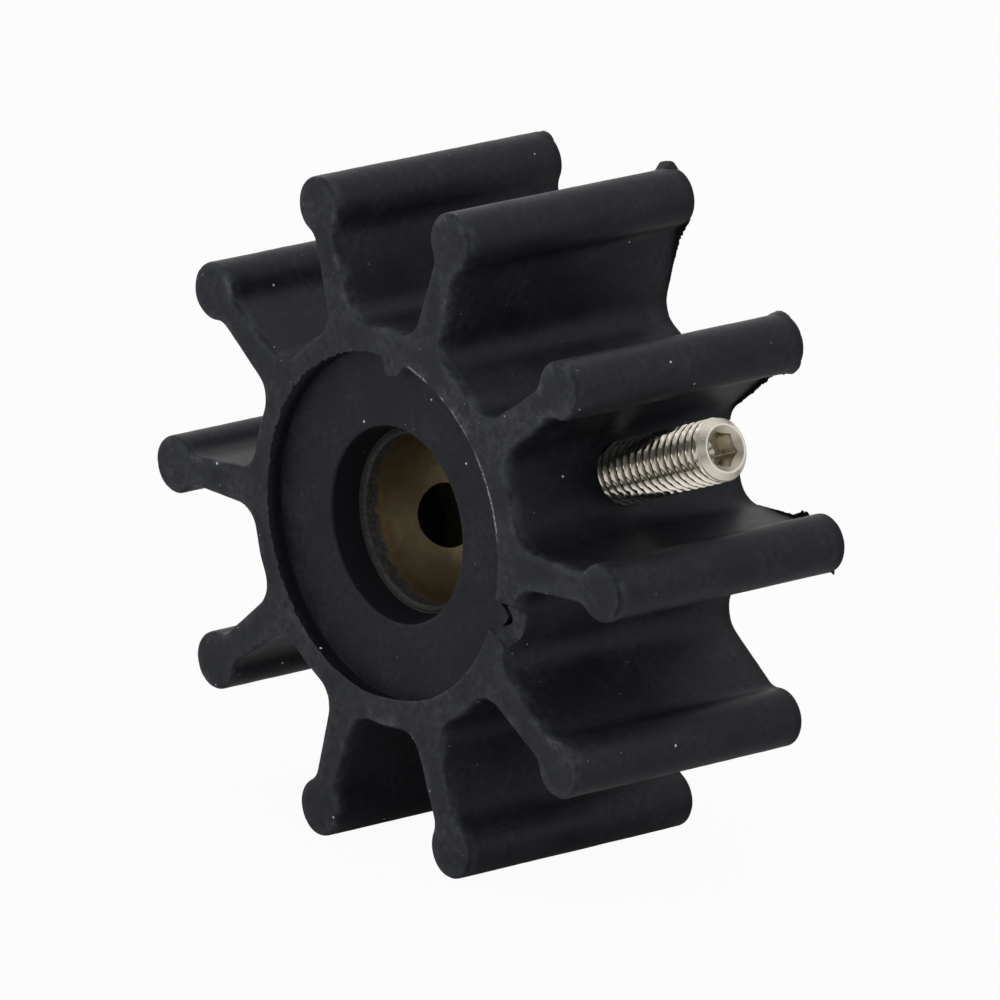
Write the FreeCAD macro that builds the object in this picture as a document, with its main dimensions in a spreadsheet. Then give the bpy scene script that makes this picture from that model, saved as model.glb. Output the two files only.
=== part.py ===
import FreeCAD, Part
import math
import os

import Sketcher
from FreeCAD import Placement, Rotation, Vector

# A flexible pump impeller: a moulded rubber rotor with ten bulb-tipped blades, the metal bush
# that the rubber is moulded on, and the set screw that drives it from the shaft.
# The axis lies along Y through the origin, the origin is midway between the two end faces, and
# -Y is the front. The first blade points along +X, and the impeller stands on two blade tips.

SHEET_NAME = "Sizes"

# Driving dimensions, in millimetres and degrees. Across the axis they follow one another from
# the bore outwards: 16 + 2 * (3.5 + 7.2 + 13.8) = 65 mm over the blade tips.
SIZES = {
    # Metal bush
    "bore_diameter": 16.0,
    "bush_wall": 3.5,
    "bore_chamfer": 0.3,
    # Rubber rotor
    "impeller_width": 27.1,
    "rubber_thickness": 7.2,
    "blade_height": 13.8,
    "blade_count": 10,
    "bulb_diameter": 5.48,
    # Blade thickness beside the root fillet and beside the bulb
    "root_thickness": 3.54,
    "neck_thickness": 2.94,
    "root_fillet": 2.6,
    "neck_fillet": 1.9,
    # Shallow recess in each end face, with a narrow land left round it
    "rim_land": 2.5,
    "recess_depth": 1.5,
    "recess_corner": 0.25,
    # Opening from the recess to the bush: its step up from the bore, its flare and its depth
    "opening_step": 0.6,
    "opening_flare": 0.5,
    "opening_depth": 2.85,
    # Set screw, which stands between the first two blades
    "screw_angle": 20.0,
    "screw_diameter": 5.94,
    "screw_length": 25.0,
    "screw_setback": 0.35,
    "screw_chamfer": 0.7,
    "socket_flats": 3.0,
    "socket_depth": 3.2,
    "socket_countersink": 0.36,
    "socket_turn": 13.0,
    "thread_clearance": 0.06,
    "rubber_clearance": 0.2,
    # Notch in the front of the hub where the moulding gate was torn out: its floor starts below
    # the recess's floor and rises outwards
    "tear_angle": 18.0,
    "tear_width": 3.7,
    "tear_bite": 0.3,
    "tear_step": 0.8,
    "tear_rise": 0.95,
    # Thin tabs of moulding flash on the rear rim
    "flash_thickness": 0.25,
    "flash_radius": 1.9,
    "long_flash": 0.85,
    "short_flash": 0.45,
}

# Formulas that several sketches share; a name in <> is a cell of the sheet
BUSH_RADIUS = "(<bore_diameter> / 2 + <bush_wall>)"
HUB_RADIUS = f"({BUSH_RADIUS} + <rubber_thickness>)"
BULB_CENTRE = f"({HUB_RADIUS} + <blade_height> - <bulb_diameter> / 2)"
RECESS_RADIUS = f"({HUB_RADIUS} - <rim_land>)"
FOOT_LIMIT = f"({HUB_RADIUS} + <root_fillet>)"
END_HEIGHT = "<impeller_width> / 2"
FLOOR_HEIGHT = "(<impeller_width> / 2 - <recess_depth>)"
SEAT_HEIGHT = "(<impeller_width> / 2 - <recess_depth> - <opening_depth>)"
SCREW_INNER_END = "(<bore_diameter> / 2 + <screw_setback>)"
SCREW_OUTER_END = f"({SCREW_INNER_END} + <screw_length>)"
ON_AXIS = "0"

# Blade number, direction from the centre of its bulb in degrees, and height of each flash tab
FLASH_TABS = (
    (2, 122, "<long_flash>"),
    (1, -98, "<short_flash>"),
    (0, 140, "<short_flash>"),
    (0, -72, "<short_flash>"),
)


def make_sheet(doc):
    """Put every driving dimension in its own cell, with its name as the alias."""
    sheet = doc.addObject("Spreadsheet::Sheet", SHEET_NAME)
    for row, (name, value) in enumerate(SIZES.items(), start=1):
        sheet.set(f"A{row}", name)
        sheet.set(f"B{row}", str(value))
        sheet.setAlias(f"B{row}", name)
    doc.recompute()


def spell_out(formula):
    """A formula of size names as an expression that reads the sheet's cells."""
    return formula.replace("<", f"{SHEET_NAME}.").replace(">", "")


def bind(feature, path, formula):
    """Tie a property or a sketch dimension to the sheet."""
    feature.setExpression(path, spell_out(formula))


def value_of(feature, formula):
    """The present value of a formula, used to draw a sketch close to its solution."""
    return float(feature.evalExpression(spell_out(formula)))


def make_body(doc, name):
    body = doc.addObject("PartDesign::Body", name)
    body.Label = name
    return body


def origin_feature(body, role):
    return next(item for item in body.Origin.OriginFeatures if item.Role == role)


def make_sketch(body, name, plane_role):
    """A sketch flat on one of the body's own origin planes."""
    sketch = body.newObject("Sketcher::SketchObject", name)
    sketch.AttachmentSupport = [(origin_feature(body, plane_role), "")]
    sketch.MapMode = "FlatFace"
    return sketch


def turn_sketch(sketch, axis, angle_formula):
    """Turn an attached sketch about an axis given in its own directions."""
    angle = value_of(sketch, angle_formula)
    sketch.AttachmentOffset = Placement(Vector(0, 0, 0), Rotation(axis, angle))
    bind(sketch, "AttachmentOffset.Rotation.Angle", angle_formula)


def add_rule(sketch, kind, *geometry):
    return sketch.addConstraint(Sketcher.Constraint(kind, *geometry))


def dimension(sketch, kind, geometry, formula):
    """Add a driving dimension and tie it to the sheet."""
    index = add_rule(sketch, kind, *geometry, value_of(sketch, formula))
    bind(sketch, f"Constraints[{index}]", formula)


def place_point(sketch, point, across, up):
    """Dimension a point, given as geometry and end, from the sketch's origin."""
    origin = (-1, 1)
    for kind, axis, formula in (("DistanceX", -2, across), ("DistanceY", -1, up)):
        if formula == ON_AXIS:
            add_rule(sketch, "PointOnObject", *point, axis)
        elif value_of(sketch, formula) < 0:
            dimension(sketch, kind, point + origin, f"-({formula})")
        else:
            dimension(sketch, kind, origin + point, formula)


def draw_polygon(sketch, corners):
    """A closed outline whose corners are pairs of formulas."""
    points = [Vector(value_of(sketch, across), value_of(sketch, up), 0) for across, up in corners]
    count = len(points)
    for index in range(count):
        sketch.addGeometry(Part.LineSegment(points[index], points[(index + 1) % count]))
    for index, (across, up) in enumerate(corners):
        add_rule(sketch, "Coincident", (index - 1) % count, 2, index, 1)
        place_point(sketch, (index, 1), across, up)


def draw_circle(sketch, radius, across=ON_AXIS, up=ON_AXIS):
    """A circle whose radius and centre are formulas."""
    middle = Vector(value_of(sketch, across), value_of(sketch, up), 0)
    circle = Part.Circle(middle, Vector(0, 0, 1), value_of(sketch, radius))
    index = sketch.addGeometry(circle)
    if across == ON_AXIS and up == ON_AXIS:
        add_rule(sketch, "Coincident", index, 3, -1, 1)
    else:
        place_point(sketch, (index, 3), across, up)
    dimension(sketch, "Radius", (index,), radius)
    return index


def draw_hexagon(sketch, flats):
    """A regular hexagon about the sketch's origin, with one corner on the up axis."""
    sides = 6
    corner_radius = f"{flats} / sqrt(3)"
    radius = value_of(sketch, corner_radius)
    angles = [math.pi / 2 + index * 2 * math.pi / sides for index in range(sides)]
    points = [Vector(radius * math.cos(angle), radius * math.sin(angle), 0) for angle in angles]
    for index in range(sides):
        sketch.addGeometry(Part.LineSegment(points[index], points[(index + 1) % sides]))
    guide = draw_circle(sketch, corner_radius)
    sketch.setConstruction(guide, True)
    for index in range(sides):
        add_rule(sketch, "Coincident", (index - 1) % sides, 2, index, 1)
        add_rule(sketch, "PointOnObject", index, 1, guide)
    for index in range(1, sides):
        add_rule(sketch, "Equal", 0, index)
    add_rule(sketch, "PointOnObject", 0, 1, -2)


def extrude(body, kind, name, sketch, length, side, reverse=False):
    """Pad or pocket a sketch to one side, or equally to both."""
    feature = body.newObject(f"PartDesign::{kind}", name)
    feature.Profile = sketch
    feature.SideType = side
    feature.Reversed = reverse
    bind(feature, "Length", length)
    return feature


def revolve(body, kind, name, sketch, axis_role):
    """Turn a sketch a full round about one of the body's own axes."""
    full_turn = 360.0
    feature = body.newObject(f"PartDesign::{kind}", name)
    feature.Profile = sketch
    feature.ReferenceAxis = (origin_feature(body, axis_role), [""])
    feature.Angle = full_turn
    return feature


def check_change(body, before, adds):
    """An added form has to bring material, and a cut has to take some away."""
    body.Document.recompute()
    change = body.Shape.Volume - before
    if change == 0 or (change > 0) != adds:
        raise RuntimeError(f"{body.Tip.Label} changed the volume of {body.Label} by {change:.3f}")


def draw_blade(sketch):
    """One blade along +X: filleted root, tapered flanks, filleted neck and round bulb."""
    hub_radius = value_of(sketch, HUB_RADIUS)
    bulb_centre = value_of(sketch, BULB_CENTRE)
    bulb_radius = value_of(sketch, "<bulb_diameter> / 2")
    root_half = value_of(sketch, "<root_thickness> / 2")
    neck_half = value_of(sketch, "<neck_thickness> / 2")
    root_fillet = value_of(sketch, "<root_fillet>")
    neck_fillet = value_of(sketch, "<neck_fillet>")

    # Places of the upper half, near enough for the constraints to settle them
    root_up = root_half + root_fillet
    root_across = math.sqrt((hub_radius + root_fillet) ** 2 - root_up**2)
    root_angle = math.atan2(root_up, root_across)
    neck_up = neck_half + neck_fillet
    neck_across = bulb_centre - math.sqrt((bulb_radius + neck_fillet) ** 2 - neck_up**2)
    neck_angle = math.atan2(neck_up, neck_across - bulb_centre)
    right_angle = math.pi / 2

    def arc(across, up, radius, start, end):
        circle = Part.Circle(Vector(across, up, 0), Vector(0, 0, 1), radius)
        return sketch.addGeometry(Part.ArcOfCircle(circle, start, end))

    def line(start, end):
        return sketch.addGeometry(Part.LineSegment(Vector(*start, 0), Vector(*end, 0)))

    upper_root = arc(root_across, root_up, root_fillet, root_angle - math.pi, -right_angle)
    upper_flank = line((root_across, root_half), (neck_across, neck_half))
    upper_neck = arc(neck_across, neck_up, neck_fillet, -right_angle, neck_angle - math.pi)
    bulb = arc(bulb_centre, 0, bulb_radius, -neck_angle, neck_angle)
    lower_neck = arc(neck_across, -neck_up, neck_fillet, math.pi - neck_angle, right_angle)
    lower_flank = line((neck_across, -neck_half), (root_across, -root_half))
    lower_root = arc(root_across, -root_up, root_fillet, right_angle, math.pi - root_angle)
    foot_across = hub_radius * math.cos(root_angle)
    foot_up = hub_radius * math.sin(root_angle)
    foot = line((foot_across, -foot_up), (foot_across, foot_up))
    hub = draw_circle(sketch, HUB_RADIUS)
    sketch.setConstruction(hub, True)

    add_rule(sketch, "Tangent", upper_root, 2, upper_flank, 1)
    add_rule(sketch, "Tangent", upper_flank, 2, upper_neck, 1)
    add_rule(sketch, "Tangent", upper_neck, 2, bulb, 2)
    add_rule(sketch, "Tangent", bulb, 1, lower_neck, 1)
    add_rule(sketch, "Tangent", lower_neck, 2, lower_flank, 1)
    add_rule(sketch, "Tangent", lower_flank, 2, lower_root, 1)
    add_rule(sketch, "Tangent", upper_root, 1, hub)
    add_rule(sketch, "Tangent", lower_root, 2, hub)
    add_rule(sketch, "Coincident", lower_root, 2, foot, 1)
    add_rule(sketch, "Coincident", foot, 2, upper_root, 1)
    add_rule(sketch, "Symmetric", upper_flank, 1, lower_flank, 2, -1)
    add_rule(sketch, "Symmetric", upper_flank, 2, lower_flank, 1, -1)
    place_point(sketch, (bulb, 3), BULB_CENTRE, ON_AXIS)
    dimension(sketch, "Radius", (bulb,), "<bulb_diameter> / 2")
    dimension(sketch, "Radius", (upper_root,), "<root_fillet>")
    dimension(sketch, "Radius", (upper_neck,), "<neck_fillet>")
    dimension(sketch, "DistanceY", (lower_flank, 2, upper_flank, 1), "<root_thickness>")
    dimension(sketch, "DistanceY", (lower_flank, 1, upper_flank, 2), "<neck_thickness>")


def add_blades(body):
    """All the blades, as a pattern of the first about the impeller's axis."""
    before = body.Shape.Volume
    sketch = make_sketch(body, "blade_sketch", "XZ_Plane")
    draw_blade(sketch)
    blade = extrude(body, "Pad", "blade", sketch, "<impeller_width>", "Symmetric")
    blades = body.newObject("PartDesign::PolarPattern", "blades")
    blades.Originals = [blade]
    blades.Axis = (origin_feature(body, "Y_Axis"), [""])
    bind(blades, "Occurrences", "<blade_count>")
    body.Tip = blades
    check_change(body, before, adds=True)


def add_flash_tabs(body):
    """Thin round tabs that stand out from the bulbs, flush with the rear end face."""
    before = body.Shape.Volume
    sketch = make_sketch(body, "flash_sketch", "XZ_Plane")
    bind(sketch, "AttachmentOffset.Base.z", f"-{END_HEIGHT}")
    for blade_number, direction, height in FLASH_TABS:
        blade_angle = f"({blade_number} * 360 deg / <blade_count>)"
        reach = f"(<bulb_diameter> / 2 + {height} - <flash_radius>)"
        across = f"{BULB_CENTRE} * cos({blade_angle}) + {reach} * cos({direction} deg)"
        up = f"{BULB_CENTRE} * sin({blade_angle}) + {reach} * sin({direction} deg)"
        draw_circle(sketch, "<flash_radius>", across, up)
    extrude(body, "Pad", "flash_tabs", sketch, "<flash_thickness>", "One side")
    check_change(body, before, adds=True)


def cut_core(body):
    """Recess, tapered opening and seat of the bush, the same from both ends."""
    before = body.Shape.Volume
    sketch = make_sketch(body, "core_sketch", "XY_Plane")
    rear_outline = [
        (ON_AXIS, END_HEIGHT),
        (RECESS_RADIUS, END_HEIGHT),
        (RECESS_RADIUS, FLOOR_HEIGHT),
        ("<bore_diameter> / 2 + <opening_step> + <opening_flare>", FLOOR_HEIGHT),
        ("<bore_diameter> / 2 + <opening_step>", SEAT_HEIGHT),
        (BUSH_RADIUS, SEAT_HEIGHT),
    ]
    front_outline = [(across, f"-{up}") for across, up in reversed(rear_outline)]
    draw_polygon(sketch, rear_outline + front_outline)
    core = revolve(body, "Groove", "core", sketch, "Y_Axis")
    check_change(body, before, adds=False)

    # Rounded corner between the floor and the wall of each recess
    before = body.Shape.Volume
    floor_height = value_of(sketch, FLOOR_HEIGHT)
    recess_radius = value_of(sketch, RECESS_RADIUS)
    corners = floor_circles(body.Shape, recess_radius, floor_height)
    fillet = body.newObject("PartDesign::Fillet", "recess_corners")
    fillet.Base = (core, corners)
    bind(fillet, "Radius", "<recess_corner>")
    check_change(body, before, adds=True)


def floor_circles(shape, radius, height):
    """Names of the edges where the wall of each recess meets its floor."""
    tolerance = 1e-4
    names = []
    for index, edge in enumerate(shape.Edges, start=1):
        if not isinstance(edge.Curve, Part.Circle):
            continue
        at_floor = abs(abs(edge.Curve.Center.y) - height) < tolerance
        if at_floor and abs(edge.Curve.Radius - radius) < tolerance:
            names.append(f"Edge{index}")
    return names


def cut_radial_hole(body, name, radius, length, side):
    """A round hole along the set screw's direction."""
    before = body.Shape.Volume
    sketch = make_sketch(body, f"{name}_sketch", "YZ_Plane")
    turn_sketch(sketch, Vector(-1, 0, 0), "<screw_angle>")
    draw_circle(sketch, radius)
    extrude(body, "Pocket", name, sketch, length, side, reverse=True)
    check_change(body, before, adds=False)


def cut_gate_tear(body):
    """Notch through the front land, from the recess to the floor of the blade gap."""
    before = body.Shape.Volume
    sketch = make_sketch(body, "gate_tear_sketch", "XY_Plane")
    turn_sketch(sketch, Vector(0, 1, 0), "<tear_angle>")
    inner_radius = f"({RECESS_RADIUS} - <tear_bite>)"
    corners = [
        (inner_radius, f"-{END_HEIGHT}"),
        (inner_radius, f"-({FLOOR_HEIGHT} - <tear_step>)"),
        (FOOT_LIMIT, f"-({FLOOR_HEIGHT} - <tear_step> + <tear_rise>)"),
        (FOOT_LIMIT, f"-{END_HEIGHT}"),
    ]
    draw_polygon(sketch, corners)
    extrude(body, "Pocket", "gate_tear", sketch, "<tear_width>", "Symmetric")
    check_change(body, before, adds=False)


def make_rubber_body(doc):
    """Hub and blades, moulded in one piece over the bush."""
    body = make_body(doc, "rubber_body")
    hub_sketch = make_sketch(body, "hub_sketch", "XZ_Plane")
    draw_circle(hub_sketch, HUB_RADIUS)
    extrude(body, "Pad", "hub", hub_sketch, "<impeller_width>", "Symmetric")
    doc.recompute()
    add_blades(body)
    add_flash_tabs(body)
    cut_core(body)
    hole_radius = "<screw_diameter> / 2 + <rubber_clearance>"
    cut_radial_hole(body, "screw_hole", hole_radius, FOOT_LIMIT, "One side")
    cut_gate_tear(body)
    return body


def make_hub_bush(doc):
    """Turned metal bush with a through bore and one hole drilled across it."""
    body = make_body(doc, "hub_bush")
    sketch = make_sketch(body, "bush_sketch", "XY_Plane")
    rear_outline = [
        ("<bore_diameter> / 2", f"{SEAT_HEIGHT} - <bore_chamfer>"),
        ("<bore_diameter> / 2 + <bore_chamfer>", SEAT_HEIGHT),
        (BUSH_RADIUS, SEAT_HEIGHT),
    ]
    front_outline = [(across, f"-({up})") for across, up in reversed(rear_outline)]
    draw_polygon(sketch, rear_outline + front_outline)
    revolve(body, "Revolution", "bush", sketch, "Y_Axis")
    doc.recompute()
    hole_radius = "<screw_diameter> / 2 + <thread_clearance>"
    cut_radial_hole(body, "cross_hole", hole_radius, f"3 * {BUSH_RADIUS}", "Symmetric")
    return body


def make_set_screw(doc):
    """Socket set screw, turned about its own X axis and then swung to its place."""
    body = make_body(doc, "set_screw")
    radius = "<screw_diameter> / 2"
    end_radius = f"({radius} - <screw_chamfer>)"
    sketch = make_sketch(body, "screw_sketch", "XY_Plane")
    corners = [
        (SCREW_INNER_END, ON_AXIS),
        (SCREW_OUTER_END, ON_AXIS),
        (SCREW_OUTER_END, end_radius),
        (f"{SCREW_OUTER_END} - <screw_chamfer>", radius),
        (f"{SCREW_INNER_END} + <screw_chamfer>", radius),
        (SCREW_INNER_END, end_radius),
    ]
    draw_polygon(sketch, corners)
    revolve(body, "Revolution", "shank", sketch, "X_Axis")
    doc.recompute()

    # Hexagon socket in the outer end
    before = body.Shape.Volume
    socket_sketch = make_sketch(body, "socket_sketch", "YZ_Plane")
    turn_sketch(socket_sketch, Vector(0, 0, 1), "<socket_turn>")
    bind(socket_sketch, "AttachmentOffset.Base.z", SCREW_OUTER_END)
    draw_hexagon(socket_sketch, "<socket_flats>")
    extrude(body, "Pocket", "socket", socket_sketch, "<socket_depth>", "One side")
    check_change(body, before, adds=False)

    # Countersink that breaks the socket's mouth just past its corners
    before = body.Shape.Volume
    mouth_sketch = make_sketch(body, "socket_mouth_sketch", "XY_Plane")
    mouth_radius = "(<socket_flats> / sqrt(3) + <socket_countersink>)"
    mouth_corners = [
        (f"{SCREW_OUTER_END} - {mouth_radius}", ON_AXIS),
        (SCREW_OUTER_END, ON_AXIS),
        (SCREW_OUTER_END, mouth_radius),
    ]
    draw_polygon(mouth_sketch, mouth_corners)
    revolve(body, "Groove", "socket_mouth", mouth_sketch, "X_Axis")
    check_change(body, before, adds=False)

    up_from_x = Vector(0, -1, 0)
    body.Placement = Placement(Vector(0, 0, 0), Rotation(up_from_x, SIZES["screw_angle"]))
    bind(body, "Placement.Rotation.Angle", "<screw_angle>")
    return body


def check_and_write(doc, bodies):
    """Write one file for each piece once every feature has built."""
    doc.recompute()
    for item in doc.Objects:
        if "Invalid" in item.State or "Error" in item.State:
            raise RuntimeError(f"{item.Label} did not build: {item.State}")
    for body in bodies:
        if body.Shape.isNull() or not body.Shape.isValid():
            raise RuntimeError(f"{body.Label} is not a valid shape")
    os.makedirs("parts", exist_ok=True)
    for body in bodies:
        body.Shape.exportStep(f"parts/{body.Label}.step")
        print(f"{body.Label}: {len(body.Shape.Solids)} solid, {body.Shape.Volume:.1f} mm3")


def main():
    doc = FreeCAD.newDocument("impeller")
    make_sheet(doc)
    bodies = [make_rubber_body(doc), make_hub_bush(doc), make_set_screw(doc)]
    check_and_write(doc, bodies)


main()
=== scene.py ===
import math

import bmesh
import bpy
from mathutils import Matrix, Vector, noise
from mathutils.geometry import delaunay_2d_cdt


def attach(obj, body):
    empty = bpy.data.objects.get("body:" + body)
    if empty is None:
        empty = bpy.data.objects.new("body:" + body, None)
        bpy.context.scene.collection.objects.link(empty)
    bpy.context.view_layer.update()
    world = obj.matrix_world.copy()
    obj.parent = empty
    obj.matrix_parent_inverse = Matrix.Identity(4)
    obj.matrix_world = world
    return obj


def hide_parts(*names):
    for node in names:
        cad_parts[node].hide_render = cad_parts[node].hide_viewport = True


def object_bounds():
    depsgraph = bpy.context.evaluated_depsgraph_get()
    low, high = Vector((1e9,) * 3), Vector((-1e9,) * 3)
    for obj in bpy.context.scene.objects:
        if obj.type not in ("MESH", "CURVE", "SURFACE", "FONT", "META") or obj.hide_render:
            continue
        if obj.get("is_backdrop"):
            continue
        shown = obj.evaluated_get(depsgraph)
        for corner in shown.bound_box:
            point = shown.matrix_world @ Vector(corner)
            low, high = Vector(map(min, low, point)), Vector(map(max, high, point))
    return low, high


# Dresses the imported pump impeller: moulded rubber with its flash, nicks and dust, the turned
# bush with its stained bore, and the threaded set screw. Shapes are drawn in millimetres and
# scaled to metres when they become objects. The axis lies along Y and the front faces -Y.

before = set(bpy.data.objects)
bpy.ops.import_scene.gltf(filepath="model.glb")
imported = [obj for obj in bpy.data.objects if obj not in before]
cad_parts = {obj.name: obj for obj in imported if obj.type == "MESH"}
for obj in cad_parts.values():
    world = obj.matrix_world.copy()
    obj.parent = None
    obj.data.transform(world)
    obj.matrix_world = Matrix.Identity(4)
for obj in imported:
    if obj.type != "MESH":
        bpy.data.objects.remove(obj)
cad_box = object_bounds()

MM = 0.001

# Rotor
END = 13.55
HUB_RADIUS = 18.7
RECESS_RADIUS = 16.2
RECESS_DEPTH = 1.5
RECESS_CORNER = 0.06
OPENING_MOUTH = 9.1
OPENING_END = 8.6
BUSH_RADIUS = 11.5
BUSH_END = 9.2
BLADES = 10
BLADE_STEP = 360 / BLADES
BULB_CENTRE = 29.76
BULB_RADIUS = 2.74
NECK_HALF = 1.47
ROOT_HALF = 1.77
NECK_FILLET = 1.9
ROOT_FILLET = 2.6
EDGE_ROUND = 0.38
SURFACE_WAVE = 0.05
# Share of painted shade on the blades' rounded rear edges
REAR_EDGE_SHADE = 0.8

# Bush and set screw
BORE_RADIUS = 8.0
BORE_CHAMFER = 0.3
SCREW_ANGLE = 20.0
SCREW_RADIUS = 2.97
SCREW_START = 8.35
SCREW_END = 33.35
SCREW_CHAMFER = 0.7
THREAD_PITCH = 1.0
THREAD_DEPTH = 0.56
SOCKET_FLATS = 3.0
SOCKET_DEPTH = 3.2
SOCKET_COUNTERSINK = 0.36
SOCKET_MOUTH = SOCKET_FLATS / math.sqrt(3) + SOCKET_COUNTERSINK
SOCKET_TURN = -13.0
SOCKET_SHOULDER = 0.95
THREAD_RUNOUT = (0.35, 1.05)
HOLE_GAP = 0.04
CROSS_HOLE = 3.03

# Ring scored into the bush's front end face, as radius and depth, and the smear in its bore
BUSH_SCORE = ((8.9, 0.0), (8.62, 0.0), (8.55, 0.0), (8.45, 0.06), (8.36, 0.0))
SMEAR_WIDTH = 1.75
SMEAR_START = 0.35
SMEAR_THICKNESS = 0.05

# Where the moulding gate tore out of the front land: the tip of the floor's tongue beside it,
# half the notch's width at its inner end, its depth, how it widens outwards, how far in and out
# its cutter reaches, and the crack under the tongue
TEAR_ANGLE = -18.0
TONGUE_RADIUS = 16.45
TONGUE_SIDE = -0.45
TEAR_HALF = 1.6
TEAR_DEPTH = 1.7
TEAR_FLARE = 0.24
TEAR_INSIDE = RECESS_RADIUS - 1.4
TEAR_OUTSIDE = HUB_RADIUS + 1.0
CRACK_DEPTH = 3.4
CRACK_UNDERCUT = 0.4

# Angle and offset of the front rim from the circle of the recess, with the loose tab at its top
RIM_OFFSETS = (
    (0, -0.35), (20, -0.42), (60, -0.40), (79, -0.25), (80.3, -0.55), (81.5, -1.15), (84, -1.65),
    (87.3, -1.82), (89.5, -1.55), (90.2, -0.5), (92, -0.15), (95, 0.0), (115, 0.15), (140, 0.40),
    (160, 0.35), (185, 0.25), (210, 0.18), (235, 0.08), (255, -0.10), (275, -0.35),
    (300, -0.20), (330, -0.20), (360, -0.35),
)

# Rings of the recess, counted from the land inwards: how far outside the rim the first two lie,
# the share of the rim's offset that each of the first ones takes, how many lie on the land, which
# one is at the foot of the wall and which one on the lip of the opening
RIM_BAND = 0.26
DUST_BAND = 0.17
RIM_SHARES = (1.0, 1.0, 1.0, 0.8, 0.25)
FLAT_RINGS = 3
FOOT_RING = 10
LIP_RING = 21

# Depths of the rings on the wall, radii of those on the floor, and the rounding of the lip
WALL_DEPTHS = (0.12, 0.28, 0.6, 0.9)
FLOOR_START = 14.6
FLOOR_STEP = 0.86
FLOOR_RINGS = 7
OPENING_LIP = 0.25

# Angles round the front recess between which a feature grows, and those between which it fades
RAGGED_RIM = ((95, 115), (215, 250))
# The next range places a painted highlight along the foot of the recess wall
FOOT_HIGHLIGHT = ((190, 215), (245, 270))
DUST_LINE = ((6, 12), (30, 40))
DUST_PATCHES = ((34, 56), (76, 80))
FAINT_DUST = ((255, 280), (320, 340))

# Kinds of fin: how far forward it runs out, how ragged its edge is, and how much painted shade
# darkens it
TAB_FIN = (1.3, 0.3, 0.75)
TIP_FIN = (1.3, 0.5, 0.0)
NECK_FIN = (0.26, 1.0, 0.0)

# Where a fin's rear face and the two sides of its thin edge lie along the axis, and how far its
# root and the line where it leaves the rubber lie below the blade's surface
FIN_REAR = END - 0.05
FIN_EDGE = (FIN_REAR - 0.1, FIN_REAR - 0.04)
FIN_ROOT = -0.5
FIN_SKIN = -0.08

# Fins of flash on the rear rim: the blade, its upper or lower side, the kind of fin, and its
# height beside the numbered points of the blade's outline
FLASH_FINS = {
    "flash_blade_0_neck": (
        0, 1, NECK_FIN,
        ((18.2, 0), (18.4, 0.7), (20, 0.95), (22, 0.9), (24, 0.6), (25, 0.3), (30, 0.14), (35, 0)),
    ),
    "flash_blade_0_spike": (0, -1, NECK_FIN, ((8.3, 0), (9.0, 0.4), (9.6, 0.12), (10.6, 0))),
    "flash_blade_1_tip": (1, 1, TIP_FIN, ((5, 0), (8, 0.22), (12, 0.3), (14.5, 0))),
    "flash_blade_1_low": (1, -1, TIP_FIN, ((9, 0), (11, 0.15), (14, 0.22), (15.5, 0))),
    "flash_blade_1_neck": (
        1, -1, NECK_FIN,
        ((16, 0), (17, 0.35), (20, 0.5), (24, 0.4), (29, 0.4), (34, 0.28), (40, 0)),
    ),
    "flash_blade_2_tip": (
        2, 1, TAB_FIN,
        ((1.5, 0), (3.3, 0.5), (7.2, 0.85), (8.2, 0.75), (9.2, 0.4), (10.2, 0)),
    ),
    "flash_blade_2_neck": (
        2, -1, NECK_FIN,
        ((15, 0), (17, 0.2), (19, 0.45), (23, 0.42), (26, 0.22), (34, 0.1), (40, 0)),
    ),
    "flash_blade_3_tip": (3, -1, TIP_FIN, ((1, 0), (2.5, 0.14), (5, 0.18), (7, 0))),
}

# Steps used to draw the forms
BULB_STEPS = 18
NECK_STEPS = 5
FLANK_STEPS = 12
ROOT_STEPS = 8
GAP_STEPS = 5
EDGE_STEPS = 4
LENGTH_STEPS = 28
ROUND_STEPS = 720
FACE_GRID = 0.5
FACE_ROW = 0.87 * FACE_GRID
FACE_MARGIN = EDGE_ROUND + 0.45
TEAR_COLUMNS = 30
TEAR_ROWS = 26
FIN_STEPS = 8
BUSH_STEPS = 240
BORE_STATIONS = 40
SCREW_STEPS = 120
PITCH_STATIONS = 14

# Colours of the rubber: dark and pale of the moulded skin and of the ground end faces, worn
# edges that also carry a painted highlight, torn places whose colour also paints shade on walls,
# rear edges and the tab, dust that also paints a highlight line, and three sizes of specks
SKIN_COLOURS = ((0.0100, 0.0106, 0.0142), (0.0290, 0.0303, 0.0362))
GROUND_COLOURS = ((0.0195, 0.0205, 0.0252), (0.0580, 0.0598, 0.0660))
WORN_AND_HIGHLIT_COLOUR = (0.050, 0.053, 0.060)
TORN_AND_SHADE_COLOUR = (0.0070, 0.0075, 0.0097)
DUST_AND_HIGHLIGHT_COLOUR = (0.30, 0.305, 0.32)
MOTE_COLOUR = (0.17, 0.175, 0.18)
RIM_MOTE_COLOUR = (0.40, 0.41, 0.41)
GRAIN_COLOUR = (0.62, 0.63, 0.62)

# Colours of the metals: dark and pale brass, its bloom, dark and pale smear, the film on the
# bush's end, dark and pale steel, and the painted shade in its thread roots and socket
BRASS_COLOURS = ((0.125, 0.102, 0.052), (0.195, 0.163, 0.087))
BLOOM_COLOUR = (0.155, 0.085, 0.040)
SMEAR_COLOURS = ((0.024, 0.023, 0.024), (0.062, 0.058, 0.060))
FILM_COLOUR = (0.012, 0.012, 0.012)
STEEL_COLOURS = ((0.70, 0.65, 0.56), (0.80, 0.76, 0.68))
GROOVE_SHADE_COLOUR = (0.30, 0.255, 0.17)

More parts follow.
